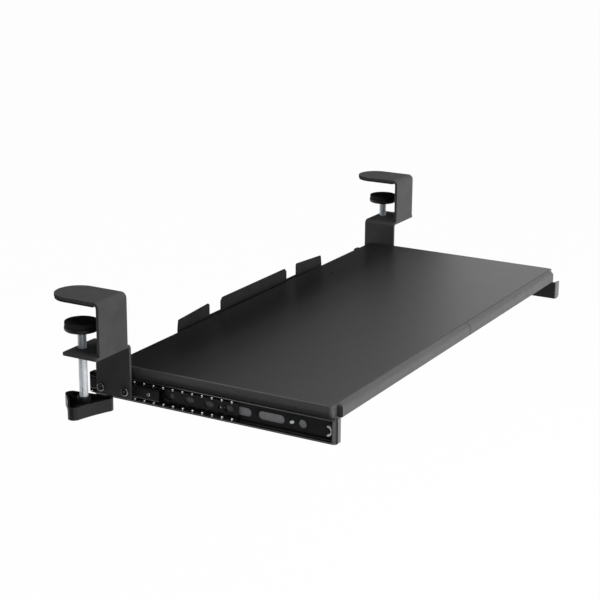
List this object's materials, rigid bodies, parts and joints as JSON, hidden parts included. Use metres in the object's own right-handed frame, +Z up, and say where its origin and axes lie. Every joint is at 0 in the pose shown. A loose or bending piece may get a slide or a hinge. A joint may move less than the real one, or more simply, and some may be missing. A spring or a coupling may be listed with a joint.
{
  "type": "clamp-on keyboard tray",
  "caption": "Wide board on ball slides that hang from desk-edge screw clamps, so it pulls out from under a desk and pushes back in.",
  "frame": {"origin": "on the desk's front top edge, midway between the two clamps", "axes": "+X along the desk edge to the user's right, +Y back under the desk, +Z up; the tray is shown pulled out"},
  "size_m": [0.8132, 0.337, 0.1395],
  "materials": {
    "tray_laminate": "black matt laminate on board",
    "edge_strip": "black satin edge strip",
    "clamp_steel": "fine textured black powder coat",
    "hanger_steel": "black powder coat, bare grey where the slide is seated",
    "slide_steel": "glossy black electro coat",
    "cage_steel": "oiled dark sheet",
    "ball_steel": "polished",
    "zinc_steel": "bright zinc plate",
    "black_bolt": "black oxide",
    "foot_steel": "black powder coat",
    "pad_rubber": "matt",
    "knob_plastic": "black satin moulding",
    "bumper_plastic": "natural moulding"
  },
  "bodies": {
    "clamps": {"left_clamp_hook": "clamp_steel", "left_jaw_pad": "pad_rubber", "left_bracket": "clamp_steel", "left_slide_bolts": "black_bolt", "left_slide_nuts": "zinc_steel", "left_slide_inner": "slide_steel", "left_inner_rivet": "zinc_steel", "right_clamp_hook": "clamp_steel", "right_jaw_pad": "pad_rubber", "right_bracket": "clamp_steel", "right_slide_bolts": "black_bolt", "right_slide_nuts": "zinc_steel", "right_slide_inner": "slide_steel", "right_inner_rivet": "zinc_steel"},
    "tray": {"tray_board": "tray_laminate", "front_trim_left": "edge_strip", "front_trim_right": "edge_strip", "rear_stop": "foot_steel", "rear_stop_screws": "black_bolt", "left_slide_channel": "slide_steel", "left_slide_bumper": "bumper_plastic", "left_channel_rivets": "zinc_steel", "left_tray_hanger": "hanger_steel", "left_hanger_screws": "black_bolt", "right_slide_channel": "slide_steel", "right_slide_bumper": "bumper_plastic", "right_channel_rivets": "zinc_steel", "right_tray_hanger": "hanger_steel", "right_hanger_screws": "black_bolt"},
    "left_cage": {"left_ball_cage": "cage_steel", "left_balls": "ball_steel"},
    "left_foot": {"left_pressure_foot": "foot_steel", "left_foot_pad": "pad_rubber"},
    "left_screw": {"left_clamp_screw": "zinc_steel", "left_screw_knob": "knob_plastic"},
    "right_cage": {"right_ball_cage": "cage_steel", "right_balls": "ball_steel"},
    "right_foot": {"right_pressure_foot": "foot_steel", "right_foot_pad": "pad_rubber"},
    "right_screw": {"right_clamp_screw": "zinc_steel", "right_screw_knob": "knob_plastic"}
  },
  "joints": [
    {"name": "tray_slide", "type": "slide", "parent": "clamps", "child": "tray", "axis": [0, 1, 0], "range_m": [0, 0.2155]},
    {"name": "left_cage_slide", "type": "slide", "parent": "clamps", "child": "left_cage", "axis": [0, 1, 0], "range_m": [0, 0.108]},
    {"name": "left_foot_slide", "type": "slide", "parent": "clamps", "child": "left_foot", "axis": [0, 0, 1], "range_m": [-0.02, 0.024]},
    {"name": "left_screw_turn", "type": "hinge", "parent": "left_foot", "child": "left_screw", "pos_m": [-0.3741, 0.0356, -0.06], "axis": [0, 0, 1], "range_deg": [-4824, 5784]},
    {"name": "right_cage_slide", "type": "slide", "parent": "clamps", "child": "right_cage", "axis": [0, 1, 0], "range_m": [0, 0.108]},
    {"name": "right_foot_slide", "type": "slide", "parent": "clamps", "child": "right_foot", "axis": [0, 0, 1], "range_m": [-0.02, 0.024]},
    {"name": "right_screw_turn", "type": "hinge", "parent": "right_foot", "child": "right_screw", "pos_m": [0.3741, 0.0356, -0.06], "axis": [0, 0, 1], "range_deg": [-4824, 5784]}
  ],
  "couplings": [
    {"joint": "left_cage_slide", "follows": "tray_slide", "ratio": 0.5},
    {"joint": "left_screw_turn", "follows": "left_foot_slide", "rad_per_m": 4188.8},
    {"joint": "right_cage_slide", "follows": "tray_slide", "ratio": 0.5},
    {"joint": "right_screw_turn", "follows": "right_foot_slide", "rad_per_m": 4188.8}
  ]
}
